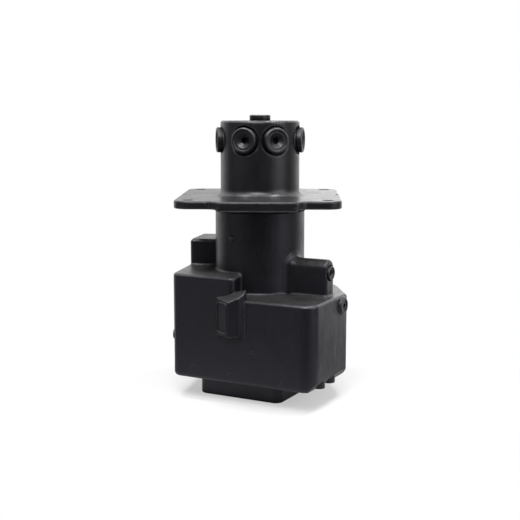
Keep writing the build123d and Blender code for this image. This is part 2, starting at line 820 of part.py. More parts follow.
# Bottom cover, with a spigot in the pocket
with BuildPart() as bottom_cover:
    with BuildSketch():
        RectangleRounded(cover_side, cover_side, cover_corner_radius)
    extrude(amount=cover_thickness)
    fillet(bottom_cover.faces().sort_by(Axis.Z)[0].edges(), cover_edge_radius)
    with BuildSketch(Plane.XY.offset(cover_thickness)):
        Circle(pocket_radius - cover_spigot_clearance)
    extrude(amount=cover_spigot_height)
    with BuildSketch(Plane.XY.offset(cover_thickness - cover_recess_depth)):
        Circle(cover_recess_radius)
    extrude(amount=cover_recess_depth + cover_spigot_height, mode=Mode.SUBTRACT)
    with BuildSketch(Plane.XZ):
        with Locations((pocket_radius, cover_seal_z)):
            Rectangle(2 * cover_groove_depth, cover_groove_width)
    revolve(axis=Axis.Z, mode=Mode.SUBTRACT)
    with BuildSketch():
        with Locations(cover_corners):
            Circle(m8_radius + bolt_clearance)
    extrude(amount=cover_thickness, mode=Mode.SUBTRACT)
    with BuildSketch():
        with Locations(cover_corners):
            Circle(m8_head_radius + bolt_clearance)
    extrude(amount=cover_head_recess, mode=Mode.SUBTRACT)
finish(bottom_cover.part, "bottom_cover")
make_cap_screws(
    "cover_bolts", cover_seats, m8_radius, cover_bolt_length, m8_head_radius, m8_head_height, m8_socket_across
)
make_ring(
    "cover_seal", pocket_radius - cover_groove_depth + seal_gap, pocket_radius - seal_gap,
    [cover_seal_z - cover_seal_width / 2], cover_seal_width, seal_corner_radius,
)

# Thrust washers, guide rings and seals in the bore
make_ring(
    "upper_thrust_washer", bore_radius + bolt_clearance, washer_outer_radius,
    [neck_top_z + washer_proud - washer_thickness], washer_thickness,
)
make_ring(
    "lower_thrust_washer", bore_radius + bolt_clearance, washer_outer_radius,
    [pocket_top_z - washer_thickness], washer_thickness,
)
make_ring(
    "dust_seal", dust_seal_radius - dust_seal_width / 2, dust_seal_radius + dust_seal_width / 2,
    [neck_top_z - dust_groove_depth], dust_groove_depth + flange_gap - soft_clearance, seal_corner_radius / 2,
)
for name, height in zip(("lower_guide_ring", "upper_guide_ring"), guide_zs):
    make_ring(
        name, bore_radius, guide_floor_radius - seal_gap, [height - guide_ring_width / 2], guide_ring_width
    )
slipper_width = seal_groove_width - 2 * seal_side_clearance
for number, height in enumerate(seal_zs, 1):
    make_ring(
        "seal_ring_%d" % number, bore_radius, bore_radius + slipper_thickness,
        [height - slipper_width / 2], slipper_width,
    )
make_ring(
    "seal_energisers", bore_radius + slipper_thickness + seal_gap, seal_floor_radius - seal_gap,
    [height - energiser_width / 2 for height in seal_zs], energiser_width, seal_corner_radius,
)

# Port plugs of the housing, each headed one over its sealing washer
headed_names = [
    "lug_plug", "boss_plug", "rear_plug_1", "rear_plug_2", "rear_plug_3", "drain_plug", "neck_plug"
]
for name, seat in zip(headed_names, headed_seats):
    make_port_plug(name, seat)
    make_washer(name + "_washer", seat, port_radius, port_plug_radius - washer_inset, port_washer_thickness)
make_flush_plug(
    "side_plug", side_seat.offset(-side_plug_inset), side_plug_radius, side_plug_length,
    side_plug_across, side_plug_socket_depth,
)
with BuildPart() as bleed_screw:
    with BuildSketch(bleed_seat.offset(-bleed_length)):
        Circle(bleed_radius - thread_clearance)
    extrude(amount=bleed_length + bleed_rise)
    fillet(bleed_screw.faces().sort_by(Axis(bleed_seat.origin, bleed_seat.z_dir))[-1].edges(), bleed_round)
finish(bleed_screw.part, "bleed_screw")
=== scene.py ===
"""Looks of the hydraulic rotary union, built up in the order in which the unit is put together."""

from math import cos, pi, radians, sin, tan

import bmesh
import bpy
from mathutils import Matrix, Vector


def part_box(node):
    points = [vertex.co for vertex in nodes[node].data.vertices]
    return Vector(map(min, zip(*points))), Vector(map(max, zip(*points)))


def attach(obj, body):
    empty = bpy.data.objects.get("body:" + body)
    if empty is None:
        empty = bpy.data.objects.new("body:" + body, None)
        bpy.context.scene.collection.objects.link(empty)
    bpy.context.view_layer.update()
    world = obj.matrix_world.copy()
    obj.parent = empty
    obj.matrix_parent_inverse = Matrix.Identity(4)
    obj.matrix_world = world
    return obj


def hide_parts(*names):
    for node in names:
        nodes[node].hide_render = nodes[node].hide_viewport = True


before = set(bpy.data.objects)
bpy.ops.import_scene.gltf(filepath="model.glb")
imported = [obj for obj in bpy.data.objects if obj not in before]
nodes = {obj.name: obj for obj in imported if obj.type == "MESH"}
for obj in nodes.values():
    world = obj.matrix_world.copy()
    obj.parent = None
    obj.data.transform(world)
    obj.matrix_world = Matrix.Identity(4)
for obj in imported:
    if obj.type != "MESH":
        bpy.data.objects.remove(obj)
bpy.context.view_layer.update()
mm = 0.001

# ---------------------------------------------------------------------------
# Bottom cover: a square plate of grey iron, machined all over and sprayed
# satin black with the rest of the unit. It closes the bore and carries the
# unit's weight on its underside.
# ---------------------------------------------------------------------------

black_enamel = (0.0056, 0.0054, 0.0072, 1.0)
# The lighter enamel serves for worn edges and for painted highlights on sloping faces.
worn_and_highlit_enamel = (0.085, 0.083, 0.088, 1.0)
cool_sheen = (0.88, 0.86, 1.0, 1.0)
plain_sheen = (0.98, 0.97, 1.0, 1.0)
dust_grey = (0.13, 0.127, 0.124, 1.0)
# Near black for creases and gaps, where painted shade darkens the enamel.
crease_shade_black = (0.002, 0.002, 0.002, 1.0)
roughness_swing = 0.07


def new_group(name, inputs, outputs):
    """An empty shader node group, with its input and output nodes."""
    group = bpy.data.node_groups.new(name, "ShaderNodeTree")
    for label, kind, value in inputs:
        socket = group.interface.new_socket(label, in_out="INPUT", socket_type=kind)
        if value is not None:
            socket.default_value = value
    for label, kind in outputs:
        group.interface.new_socket(label, in_out="OUTPUT", socket_type=kind)
    return group, group.nodes.new("NodeGroupInput"), group.nodes.new("NodeGroupOutput")


def feed(tree, node, sources):
    """Gives each named or numbered input of a node its source: another node's output, or a plain value."""
    for key, source in sources.items():
        if isinstance(source, bpy.types.NodeSocket):
            tree.links.new(source, node.inputs[key])
        else:
            node.inputs[key].default_value = source


def place(tree, kind, sources, **properties):
    """A new node in a tree, with its properties set and its inputs fed."""
    node = tree.nodes.new(kind)
    for key, value in properties.items():
        setattr(node, key, value)
    feed(tree, node, sources)
    return node


def combine(tree, operation, first, second):
    """A sum, product or the like of two outputs or plain numbers."""
    return place(tree, "ShaderNodeMath", {0: first, 1: second}, operation=operation).outputs[0]


def ramp(tree, source, start, end, low=0.0, high=1.0, kind="LINEAR"):
    """Runs from low to high while the source runs from start to end, and holds beyond them."""
    sources = {0: source, 1: start, 2: end, 3: low, 4: high}
    return place(tree, "ShaderNodeMapRange", sources, interpolation_type=kind).outputs[0]


def mix(tree, share, first, second):
    """Runs from the first number to the second as the share grows."""
    return place(tree, "ShaderNodeMix", {0: share, 2: first, 3: second}).outputs[0]


def blend(tree, share, first, second):
    """Runs from the first colour to the second as the share grows."""
    return place(tree, "ShaderNodeMix", {0: share, 6: first, 7: second}, data_type="RGBA").outputs[2]


def noise(tree, where, scale, detail=2.0, roughness=0.5):
    """A cloudy pattern between 0 and 1."""
    return place(tree, "ShaderNodeTexNoise", {0: where, 2: scale, 3: detail, 4: roughness}).outputs[0]


def cast_skin():
    """Fine sand-cast skin under paint: a height, and a slow mottling from thick and thin paint."""
    group, given, result = new_group(
        "cast_skin",
        [("Vector", "NodeSocketVector", None), ("Grain", "NodeSocketFloat", 900.0),
         ("Waviness", "NodeSocketFloat", 55.0)],
        [("Height", "NodeSocketFloat"), ("Mottle", "NodeSocketFloat")],
    )
    where, fineness, waviness = given.outputs[0], given.outputs[1], given.outputs[2]
    grain = noise(group, where, fineness, detail=3.0, roughness=0.6)
    pits = place(group, "ShaderNodeTexVoronoi", {0: where, 2: fineness}, feature="SMOOTH_F1")
    waves = noise(group, where, waviness)
    drawn_out = place(group, "ShaderNodeVectorMath", {0: where, 1: (1.0, 1.0, 0.12)}, operation="MULTIPLY")
    streaks = noise(group, drawn_out.outputs[0], scale=210.0, detail=4.0, roughness=0.65)
    rough = combine(group, "ADD", grain, pits.outputs[0])
    body = combine(group, "ADD", rough, combine(group, "MULTIPLY", waves, 9.0))
    height = combine(group, "ADD", body, combine(group, "MULTIPLY", streaks, 3.5))
    feed(group, result, {"Height": height, "Mottle": mix(group, 0.5, waves, streaks)})
    return group


def softened_edges_and_highlights():
    """Edges rounded by paint: a normal that turns over them, and a mask that is partly wear where the paint is
    thin on edges and partly painted highlight on sloping faces such as fillets.
    """
    group, given, result = new_group(
        "softened_edges_and_highlights",
        [("Radius", "NodeSocketFloat", 0.0008), ("Vector", "NodeSocketVector", None),
         ("Patchiness", "NodeSocketFloat", 160.0)],
        [("Normal", "NodeSocketVector"), ("Wear and highlight", "NodeSocketFloat")],
    )
    rounded = place(group, "ShaderNodeBevel", {0: given.outputs[0]}, samples=6).outputs[0]
    true = place(group, "ShaderNodeNewGeometry", {}).outputs["Normal"]
    alike = place(group, "ShaderNodeVectorMath", {0: rounded, 1: true}, operation="DOT_PRODUCT")
    turn = combine(group, "SUBTRACT", 1.0, alike.outputs["Value"])
    patches = noise(group, given.outputs[1], given.outputs[2], detail=3.0)
    on_edges = ramp(group, combine(group, "MULTIPLY", turn, patches), 0.02, 0.12)
    # Sloping faces, fillets among them, get a painted highlight: the lighter enamel is laid where the normal
    # leans between level and up.
    upward = place(group, "ShaderNodeSeparateXYZ", {0: true}).outputs[2]
    slope = combine(group, "MULTIPLY", ramp(group, upward, 0.2, 0.5), ramp(group, upward, 0.95, 0.75))
    highlit_fillets = combine(group, "MULTIPLY", slope, patches)
    feed(group, result, {"Normal": rounded, "Wear and highlight": combine(group, "MAXIMUM", on_edges, highlit_fillets)})
    return group


def settled_dust():
    """Dust on faces that look up, broken into faint patches."""
    group, given, result = new_group(
        "settled_dust",
        [("Vector", "NodeSocketVector", None), ("Amount", "NodeSocketFloat", 0.3)],
        [("Dust", "NodeSocketFloat")],
    )
    facing = place(group, "ShaderNodeNewGeometry", {}).outputs["Normal"]
    upward = place(group, "ShaderNodeSeparateXYZ", {0: facing}).outputs[2]
    patches = noise(group, given.outputs[0], scale=70.0, detail=6.0, roughness=0.65)
    lying = combine(group, "MULTIPLY", ramp(group, upward, 0.55, 1.0), patches)
    feed(group, result, {"Dust": combine(group, "MULTIPLY", lying, given.outputs[1])})
    return group


def painted_crease_shade():
    """How open a place is: near 0 deep in a crease and 1 in the open. It drives the painted shade that darkens
    creases.
    """
    group, given, result = new_group(
        "painted_crease_shade", [("Reach", "NodeSocketFloat", 0.004)], [("Openness", "NodeSocketFloat")]
    )
    near = place(group, "ShaderNodeAmbientOcclusion", {"Distance": given.outputs[0]}, samples=6)
    feed(group, result, {"Openness": ramp(group, near.outputs["AO"], 0.35, 0.85, low=0.12)})
    return group


skin_group = cast_skin()
edge_and_highlight_group = softened_edges_and_highlights()
dust_group = settled_dust()
crease_shade_group = painted_crease_shade()


def new_material(name):
    """A material, its tree, its shader, and where on the object a shaded point lies."""
    material = bpy.data.materials.new(name)
    material.use_nodes = True
    tree = material.node_tree
    where = place(tree, "ShaderNodeTexCoord", {}).outputs["Object"]
    return material, tree, tree.nodes["Principled BSDF"], where


def bumped(tree, height, depth, **other_sources):
    """A normal raised by a height, this deep."""
    sources = {"Height": height, "Distance": depth, "Strength": 1.0, **other_sources}
    return place(tree, "ShaderNodeBump", sources).outputs[0]


def satin_black(name, grain, skin_depth, roughness, edge_radius, dust, tint, crease_shade_reach=4 * mm):
    """Satin black enamel over iron or steel, with the skin of what lies under it, painted shade in its creases
    and a painted highlight on its sloping faces.
    """
    material, tree, shader, where = new_material(name)
    skin = place(tree, "ShaderNodeGroup", {"Vector": where, "Grain": grain}, node_tree=skin_group)
    edges = place(tree, "ShaderNodeGroup", {"Vector": where, "Radius": edge_radius}, node_tree=edge_and_highlight_group)
    lying = place(tree, "ShaderNodeGroup", {"Vector": where, "Amount": dust}, node_tree=dust_group)
    openness = place(tree, "ShaderNodeGroup", {"Reach": crease_shade_reach}, node_tree=crease_shade_group).outputs[0]
    # Lighter enamel on worn edges and, as painted highlight, on sloping faces.
    enamel = blend(tree, edges.outputs["Wear and highlight"], black_enamel, worn_and_highlit_enamel)
    dusty = blend(tree, lying.outputs["Dust"], enamel, dust_grey)
    smoothest, dullest = roughness - roughness_swing, roughness + roughness_swing
    # Creases get painted shade: their colour runs to near black and their reflection is cut where ambient
    # occlusion finds them closed in.
    feed(tree, shader, {
        "Base Color": blend(tree, openness, crease_shade_black, dusty),
        "Specular IOR Level": combine(tree, "MULTIPLY", openness, 0.5),
        "Specular Tint": tint,
        "Roughness": ramp(tree, skin.outputs["Mottle"], 0.3, 0.7, smoothest, dullest),
        "Normal": bumped(tree, skin.outputs["Height"], skin_depth, Normal=edges.outputs["Normal"]),
    })
    return material


def wear_finish(node, material):
    """Gives a carried-over node its finish."""
    nodes[node].data.materials.clear()
    nodes[node].data.materials.append(material)


cover_paint = satin_black(
    "satin_black_on_machined_iron", grain=1500, skin_depth=0.01 * mm, roughness=0.38, edge_radius=0.6 * mm,
    dust=0.1, tint=cool_sheen,
)
wear_finish("bottom_cover", cover_paint)

# ---------------------------------------------------------------------------
# Cover bolts and retainer bolts: socket cap screws of black oxidised steel,
# with a knurled head and a rolled edge. Four hold the cover under the block,
# and four hold the retainer under the spindle.
# ---------------------------------------------------------------------------

round_steps = 3
widest_share = 0.45
countersink_slope = 0.5
drill_tip_share = 0.2


def rounded_corner(start, corner, end, steps):
    """Points on a curve from start to end that bends towards the corner."""
    shares = [step / steps for step in range(steps + 1)]
    return [start * (1 - t) ** 2 + corner * 2 * t * (1 - t) + end * t**2 for t in shares]


def rounded_outline(corners, radius):
    """The corners of a turned outline, each inner one rounded by this radius where it fits."""
    points = [Vector(corners[0])]
    for before, corner, after in zip(corners, corners[1:], corners[2:]):
        corner = Vector(corner)
        back = Vector(before) - corner
        on = Vector(after) - corner
        turn = back.angle(on)
        reach = min(radius / tan(turn / 2), back.length * widest_share, on.length * widest_share)
        start = corner + back.normalized() * reach
        end = corner + on.normalized() * reach
        points += rounded_corner(start, corner, end, round_steps)
    return points + [Vector(corners[-1])]


def bridge(mesh, low, high):
    """Four-sided faces between two loops of as many points."""
    for i in range(len(low)):
        j = (i + 1) % len(low)
        mesh.faces.new((low[i], low[j], high[j], high[i]))


def smooth_data(name, mesh):
    """The finished mesh, smooth and with its faces turned outward."""
    for face in mesh.faces:
        face.smooth = True
    bmesh.ops.recalc_face_normals(mesh, faces=mesh.faces)
    data = bpy.data.meshes.new(name)
    mesh.to_mesh(data)
    mesh.free()
    return data


def turned_with_socket(name, outline, across, depth, sides=72, knurl=None):
    """A turned piece about Z, from the middle of its foot up its outline, then down into a hexagon socket.

    The outline is (radius, height) pairs and ends at the socket's countersink."""
    mesh = bmesh.new()

    def ring(reach, height):
        angles = [2 * pi * i / sides for i in range(sides)]
        return [
            mesh.verts.new((reach(angle) * cos(angle), reach(angle) * sin(angle), height)) for angle in angles
        ]

    def round_reach(radius, height):
        if knurl and knurl["low"] <= height <= knurl["high"] and radius > knurl["above"]:
            return lambda angle: radius - knurl["depth"] * (0.5 - 0.5 * cos(knurl["teeth"] * angle))
        return lambda angle: radius

    def hexagon_reach(angle):
        return across / 2 / cos((angle + pi / 6) % (pi / 3) - pi / 6)

    loops = [ring(round_reach(radius, height), height) for radius, height in outline]
    mouth, top = outline[-1]
    loops.append(ring(hexagon_reach, top - (mouth - across / 2) * countersink_slope))
    loops.append(ring(hexagon_reach, top - depth))
    for low, high in zip(loops, loops[1:]):
        bridge(mesh, low, high)
    foot = mesh.verts.new((0, 0, outline[0][1]))
    drill_tip = mesh.verts.new((0, 0, top - depth - across * drill_tip_share))
    for i in range(sides):
        j = (i + 1) % sides
        mesh.faces.new((foot, loops[0][j], loops[0][i]))
        mesh.faces.new((drill_tip, loops[-1][i], loops[-1][j]))
    data = smooth_data(name, mesh)
    data.set_sharp_from_angle(angle=radians(38))
    return bpy.data.objects.new(name, data)


def piece_on_seats():
    """A tree that sets one piece on every seat, a point whose "out" attribute says where it faces."""
    tree = bpy.data.node_groups.new("piece_on_seats", "GeometryNodeTree")
    for label, kind in (
        ("Seats", "Geometry"), ("Piece", "Object"), ("Turn of sockets", "Float"), ("Seed", "Int"),
        ("Finish", "Material"),
    ):
        tree.interface.new_socket(label, in_out="INPUT", socket_type="NodeSocket" + kind)
    tree.interface.new_socket("Pieces", in_out="OUTPUT", socket_type="NodeSocketGeometry")
    given = tree.nodes.new("NodeGroupInput")
    result = tree.nodes.new("NodeGroupOutput")
    facing = place(tree, "GeometryNodeInputNamedAttribute", {"Name": "out"}, data_type="FLOAT_VECTOR")
    upright = place(
        tree, "FunctionNodeAlignRotationToVector", {"Vector": facing.outputs["Attribute"]}, axis="Z"
    )
    chance = place(
        tree, "FunctionNodeRandomValue",
        {"Max": given.outputs["Turn of sockets"], "Seed": given.outputs["Seed"]}, data_type="FLOAT",
    )
    about = place(tree, "ShaderNodeCombineXYZ", {"Z": chance.outputs[1]})
    spun = place(
        tree, "FunctionNodeRotateRotation", {0: upright.outputs[0], 1: about.outputs[0]}, rotation_space="LOCAL"
    )
    source = place(tree, "GeometryNodeObjectInfo", {0: given.outputs["Piece"]})
    points = place(tree, "GeometryNodeMeshToPoints", {0: given.outputs["Seats"]})
    placed = place(tree, "GeometryNodeInstanceOnPoints", {
        "Points": points.outputs[0], "Instance": source.outputs["Geometry"], "Rotation": spun.outputs[0],
    })
    real = place(tree, "GeometryNodeRealizeInstances", {0: placed.outputs[0]})
    painted = place(tree, "GeometryNodeSetMaterial", {0: real.outputs[0], 2: given.outputs["Finish"]})
    feed(tree, result, {"Pieces": painted.outputs[0]})
    return tree


seats_tree = piece_on_seats()


def face_centre(node, out):
    """Where a turned node's axis, which runs along out, leaves its outermost face."""
    low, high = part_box(node)
    middle = (low + high) / 2
    reach = max(vertex.co.dot(out) for vertex in nodes[node].data.vertices)
    return middle + out * (reach - middle.dot(out))


def set_on_seats(name, piece, seats, material, body, stands_for, turn=pi, seed=3):
    """Sets a piece on seats of (place, direction), as one plain mesh that rides on a body."""
    cloud = bpy.data.meshes.new(name + "_seats")
    cloud.from_pydata([place_of for place_of, out in seats], [], [])
    facing = cloud.attributes.new("out", "FLOAT_VECTOR", "POINT")
    for item, (place_of, out) in zip(facing.data, seats):
        item.vector = out
    carrier = bpy.data.objects.new(name + "_carrier", cloud)
    bpy.context.scene.collection.objects.link(carrier)
    modifier = carrier.modifiers.new("seats", "NODES")
    modifier.node_group = seats_tree
    sockets = [item for item in seats_tree.interface.items_tree if item.in_out == "INPUT"]
    named = {item.name: item.identifier for item in sockets}
    modifier[named["Piece"]] = piece
    modifier[named["Turn of sockets"]] = turn
    modifier[named["Seed"]] = seed
    modifier[named["Finish"]] = material
    bpy.context.view_layer.update()
    ready = carrier.evaluated_get(bpy.context.evaluated_depsgraph_get())
    made = bpy.data.objects.new(name, bpy.data.meshes.new_from_object(ready))
    carrier.modifiers.clear()
    bpy.data.objects.remove(carrier)
    bpy.context.scene.collection.objects.link(made)
    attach(made, body)
    if stands_for:
        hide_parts(*stands_for)


def black_oxide(name):
    """Blued steel of a hardened screw, oily in places."""
    material, tree, shader, where = new_material(name)
    film = noise(tree, where, scale=420.0, detail=4.0)
    feed(tree, shader, {
        "Base Color": blend(tree, film, (0.035, 0.036, 0.040, 1.0), (0.085, 0.083, 0.080, 1.0)),
        "Roughness": ramp(tree, film, 0.0, 1.0, 0.28, 0.5),
        "Metallic": 0.85,
        "Normal": bumped(tree, film, 0.01 * mm),
    })
    return material


screw_finish = black_oxide("black_oxide_steel")


def cap_screw(name, shank, length, head, head_height, across):
    """A knurled socket cap screw, its shank below the seat and its head above."""
    corners = [(shank, -length), (shank, 0), (head, 0), (head, head_height), (across * 0.66, head_height)]
    outline = rounded_outline(corners, 0.6 * mm)
    teeth = {"low": 0.1 * head_height, "high": 0.85 * head_height, "above": head * 0.98,
             "depth": 0.25 * mm, "teeth": 36}
    return turned_with_socket(name, outline, across, head_height / 2, sides=144, knurl=teeth)


down = Vector((0, 0, -1))
cover_low, cover_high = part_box("cover_bolts")
cover_head = 8 * mm
cover_head_radius = 6.5 * mm
cover_reach = cover_high.x - cover_head_radius
cover_seats = [
    (Vector((x * cover_reach, y * cover_reach, cover_low.z + cover_head)), down)
    for x in (-1, 1) for y in (-1, 1)
]
cover_screw = cap_screw("cover_screw", 4 * mm, 30 * mm, cover_head_radius, cover_head, 6 * mm)
set_on_seats(
    "cover_cap_screws", cover_screw, cover_seats, screw_finish, "housing", ["cover_bolts"]
)

retainer_low, retainer_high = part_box("retainer_bolts")
retainer_head = 6 * mm
retainer_head_radius = 5 * mm
retainer_reach = (retainer_high.x - retainer_head_radius) / cos(radians(45))
retainer_seats = []
for i in range(4):
    angle = radians(45 + 90 * i)
    seat = Vector((retainer_reach * cos(angle), retainer_reach * sin(angle), retainer_low.z + retainer_head))
    retainer_seats.append((seat, down))
retainer_screw = cap_screw("retainer_screw", 3 * mm, 19 * mm, retainer_head_radius, retainer_head, 5 * mm)
set_on_seats(
    "retainer_cap_screws", retainer_screw, retainer_seats, screw_finish, "rotor",
    ["retainer_bolts"],
)

# ---------------------------------------------------------------------------
# Seals: nitrile rubber rings and energisers under slide rings of bronze
# filled PTFE, and two bronze thrust washers. All but the dust seal's lip
# are shut inside the bore.
# ---------------------------------------------------------------------------


def ring_material(name, dark, light, scale, roughness, metallic=0.0, specular=0.5):
    """A plain ring material with a fine fill or grain."""
    material, tree, shader, where = new_material(name)
    fill = noise(tree, where, scale, detail=5.0)
    feed(tree, shader, {
        "Base Color": blend(tree, fill, dark, light),
        "Roughness": roughness,
        "Metallic": metallic,
        "Specular IOR Level": specular,
        "Normal": bumped(tree, fill, 0.01 * mm),
    })
    return material


nitrile = ring_material(
    "nitrile_rubber", dark=(0.012, 0.012, 0.012, 1), light=(0.03, 0.03, 0.03, 1), scale=900, roughness=0.6
)
filled_ptfe = ring_material(
    "bronze_filled_ptfe", dark=(0.20, 0.12, 0.06, 1), light=(0.38, 0.25, 0.14, 1), scale=1400, roughness=0.5
)
turned_bronze = ring_material(
    "turned_bronze", dark=(0.42, 0.28, 0.13, 1), light=(0.60, 0.43, 0.22, 1), scale=700, roughness=0.35,
    metallic=1.0,
)
for node in ("cover_seal", "dust_seal", "seal_energisers"):
    wear_finish(node, nitrile)
for node in ["lower_guide_ring", "upper_guide_ring"] + ["seal_ring_%d" % i for i in range(1, 9)]:
    wear_finish(node, filled_ptfe)
for node in ("upper_thrust_washer", "lower_thrust_washer"):
    wear_finish(node, turned_bronze)

# ---------------------------------------------------------------------------
# Housing: one iron casting with stepped decks, a tall neck, two port bosses
# and a front rib. Its skin is as cast, under satin black enamel.
# ---------------------------------------------------------------------------

housing_paint = satin_black(
    "satin_black_on_cast_iron", grain=700, skin_depth=0.055 * mm, roughness=0.38, edge_radius=1.4 * mm,
    dust=0.6, tint=cool_sheen,
)
wear_finish("housing_casting", housing_paint)


def skin_over(name, loops, ring):
    """A mesh over cross-sections, each a closed loop of points, joined in a ring or capped at both ends."""
    mesh = bmesh.new()
    rows = [[mesh.verts.new(point) for point in loop] for loop in loops]
    for low, high in zip(rows, rows[1:] + rows[:1] if ring else rows[1:]):
        bridge(mesh, low, high)
    if not ring:
        mesh.faces.new(list(reversed(rows[0])))
        mesh.faces.new(rows[-1])
    return smooth_data(name, mesh)


def closed_strip(name, loops, ring, material):
    """One plain mesh over cross-sections, which rides on the housing."""
    data = skin_over(name, loops, ring)
    data.set_sharp_from_angle(angle=radians(50))
    data.materials.append(material)
    made = bpy.data.objects.new(name, data)
    bpy.context.scene.collection.objects.link(made)
    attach(made, "housing")


# The lug's root: a cast hollow that runs up the lug's front, over its round
# top and down behind, and blends it into the neck. The lug's outline is a
# row of (y, z) places, each with the direction in which it faces.
neck_reach = 44.1 * mm
lug_middle_y = -8.5 * mm
lug_half = 9 * mm
lug_round_z = 129 * mm
lower_deck_z = 103 * mm
root_foot_z = lower_deck_z + 1 * mm
root_radius = 6.5 * mm
sunk = 0.6 * mm
root_steps = 8
lug_steps = 24
lug_outline = [(lug_middle_y - lug_half, root_foot_z, -1.0, 0.0)]
for step in range(lug_steps + 1):
    angle = pi - pi * step / lug_steps
    side, top = cos(angle), sin(angle)
    lug_outline.append((lug_middle_y + lug_half * side, lug_round_z + lug_half * top, side, top))
lug_outline.append((lug_middle_y + lug_half, root_foot_z, 1.0, 0.0))


def by_the_root(place_on_lug, off_lug, off_neck):
    """A point this far off the lug's outline and this far off the neck's skin."""
    y, z, out_y, out_z = place_on_lug
    far_y = y + out_y * off_lug
    on_neck = (neck_reach**2 - far_y * far_y) ** 0.5
    return Vector((on_neck + off_neck, far_y, z + out_z * off_lug))


root_loops = []
for here in lug_outline:
    start, corner, end = (
        by_the_root(here, 0, root_radius), by_the_root(here, 0, 0), by_the_root(here, root_radius, 0)
    )
    root_loops.append(
        [by_the_root(here, -sunk, root_radius + sunk)]
        + rounded_corner(start, corner, end, root_steps)
        + [by_the_root(here, root_radius + sunk, -sunk), by_the_root(here, -sunk, -sunk)]
    )
closed_strip("lug_root", root_loops, False, housing_paint)

# The neck's shadow ring: a rubber ring over the neck's rim, under the flange, kept near black and with its
# reflection turned low so that it stands for the shadowed gap there, as painted shade. Its outline is in
# millimetres.
shadow_ring_outline = rounded_outline(
    [(43.6, 181.2), (44.5, 181.2), (44.9, 182.0), (44.9, 186.8), (44.4, 187.4), (43.6, 187.4)], 0.3
)
shadow_ring_steps = 128
shadow_ring_loops = []
for i in range(shadow_ring_steps):
    angle = 2 * pi * i / shadow_ring_steps
    shadow_ring_loops.append([
        Vector((radius * cos(angle), radius * sin(angle), height)) * mm for radius, height in shadow_ring_outline
    ])
shadow_black_rubber = ring_material(
    "shadow_black_rubber", dark=(0.002, 0.002, 0.002, 1), light=(0.005, 0.005, 0.005, 1), scale=900, roughness=0.8,
    specular=0.08,
)
closed_strip("neck_wiper", shadow_ring_loops, True, shadow_black_rubber)

# The frame of the cast label on the rib's left facet: a raised bead with
# rounded corners, cast with the rib and left blank inside.
rib_left = Vector((-11.0, -68.6, 0)) * mm
rib_nose = Vector((7.7, -79.0, 0)) * mm
facet_along = (rib_nose - rib_left).normalized()
facet_out = facet_along.cross(Vector((0, 0, 1))).normalized()
frame_start, frame_end = 2.6 * mm, 18.8 * mm
frame_low, frame_high = 70.5 * mm, 99.5 * mm
frame_corner = 2.5 * mm
frame_steps = 32
bead_half, bead_rise, bead_sunk = 1.1 * mm, 1.1 * mm, 0.15 * mm
bead_steps = 8


def corner_centre(low, high, side):
    """The middle of the round corner on this side of the frame."""
    return high - frame_corner if side > 0 else low + frame_corner


frame_loops = []
for turn in range(frame_steps):
    angle = 2 * pi * turn / frame_steps
    side, top = cos(angle), sin(angle)
    centre_along = corner_centre(frame_start, frame_end, side)
    centre_up = corner_centre(frame_low, frame_high, top)
    loop = []
    for step in range(bead_steps + 1):
        about = pi * step / bead_steps
        reach = frame_corner + bead_half * cos(about)
        rise = bead_rise * sin(about) - bead_sunk
        loop.append(
            rib_left + facet_along * (centre_along + side * reach)
            + Vector((0, 0, centre_up + top * reach)) + facet_out * rise
        )
    frame_loops.append(loop)
closed_strip("rib_label_frame", frame_loops, True, housing_paint)

# Cast pips: low lumps where sand broke away from the mould's front wall. The
# outline, the front's y and the places are in millimetres.
pip = rounded_outline([(2.6, -0.3), (2.3, 0.0), (1.2, 0.28), (0.1, 0.34)], 0.6)
pip_sides = 24
pip_stretch, pip_squeeze = 1.5 * mm, 0.6 * mm
pip_loops = []
for radius, height in pip:
    angles = [2 * pi * i / pip_sides for i in range(pip_sides)]
    pip_loops.append([
        Vector((radius * cos(angle) * pip_stretch, radius * sin(angle) * pip_squeeze, height * mm))
        for angle in angles
    ])
cast_pip = bpy.data.objects.new("cast_pip", skin_over("cast_pip", pip_loops, False))
front_out = Vector((0, -1, 0))
front_y = -68.6
pip_places = [(27, 54), (19, 38), (3, 30), (58, 27), (-38, 33)]
pip_seats = [(Vector((x, front_y, z)) * mm, front_out) for x, z in pip_places]
pip_paint = satin_black(
    "satin_black_on_pips", grain=900, skin_depth=0.02 * mm, roughness=0.4, edge_radius=0.05 * mm,
    dust=0.0, tint=cool_sheen,
)
set_on_seats("cast_pips", cast_pip, pip_seats, pip_paint, "housing", [], turn=0.9, seed=5)

# ---------------------------------------------------------------------------
# Rotor: spindle, square flange and port head in one casting, turned where it
# runs and painted with the housing. The retainer and the gallery plugs close
# its lower end.
# ---------------------------------------------------------------------------

rotor_paint = satin_black(
    "satin_black_on_turned_iron", grain=1100, skin_depth=0.02 * mm, roughness=0.34, edge_radius=3.0 * mm,
    dust=0.2, tint=plain_sheen,
)
wear_finish("rotor_shaft", rotor_paint)
wear_finish("retainer_plate", cover_paint)
wear_finish("gallery_plugs", screw_finish)

# ---------------------------------------------------------------------------
# Port plugs: turned steel with a dished face and a raised hub round a hexagon
# socket, each screwed down on a bonded washer and painted with the unit.
# Seven ring the head, and the others close the housing's ports.
# ---------------------------------------------------------------------------

# Its long crease reach lays painted shade deep into each plug's dish and socket.
plug_paint = satin_black(
    "satin_black_on_turned_steel", grain=2200, skin_depth=0.006 * mm, roughness=0.42, edge_radius=0.25 * mm,
    dust=0.0, tint=plain_sheen, crease_shade_reach=9 * mm,
)


